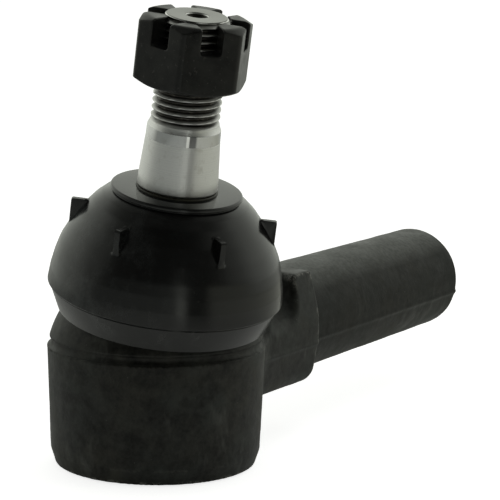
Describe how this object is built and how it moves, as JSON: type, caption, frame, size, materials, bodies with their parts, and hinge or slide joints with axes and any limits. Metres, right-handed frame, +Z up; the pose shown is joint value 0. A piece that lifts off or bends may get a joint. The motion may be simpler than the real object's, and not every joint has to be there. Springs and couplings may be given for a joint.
{
  "type": "tie rod end",
  "caption": "Steering ball joint: a forged housing with a threaded shank, a tapered ball stud under a domed dust boot, and a slotted nut.",
  "frame": {"origin": "centre of the ball", "axes": "+X along the shank towards its threaded mouth, +Z up the housing's axis towards the stud"},
  "size_m": [0.1439, 0.0496, 0.0953],
  "materials": {
    "forging": "thin black paint over a rough forging",
    "bearing_plastic": "smooth moulded",
    "spring_steel": "hardened",
    "cover_steel": "pressed and blackened",
    "stud_steel": "ground taper, rolled thread",
    "boot_rubber": "glossy moulded",
    "insert_steel": "plain",
    "seal_rubber": "satin",
    "nut_steel": "black oxide, oiled"
  },
  "bodies": {
    "housing": {"housing": "forging", "upper_bearing": "bearing_plastic", "preload_spring": "spring_steel", "end_cover": "cover_steel"},
    "bearing": {"lower_bearing": "bearing_plastic"},
    "boot": {"dust_boot": "boot_rubber", "boot_insert": "insert_steel", "stud_seal": "seal_rubber"},
    "stud": {"ball_stud": "stud_steel"},
    "nut": {"slotted_nut": "nut_steel"}
  },
  "joints": [
    {"name": "swing_direction", "type": "hinge", "parent": "housing", "child": "bearing", "pos_m": [0, 0, 0], "axis": [0, 0, 1], "continuous": true},
    {"name": "stud_swing", "type": "hinge", "parent": "bearing", "child": "boot", "pos_m": [0, 0, 0], "axis": [0.8988, -0.4384, 0], "range_deg": [-29, 7]},
    {"name": "stud_turn", "type": "hinge", "parent": "boot", "child": "stud", "pos_m": [0, 0, 0], "axis": [-0.0836, -0.1715, 0.9816], "continuous": true},
    {"name": "nut_slide", "type": "slide", "parent": "stud", "child": "nut", "axis": [-0.0836, -0.1715, 0.9816], "range_m": [-0.006, 0.012]}
  ]
}
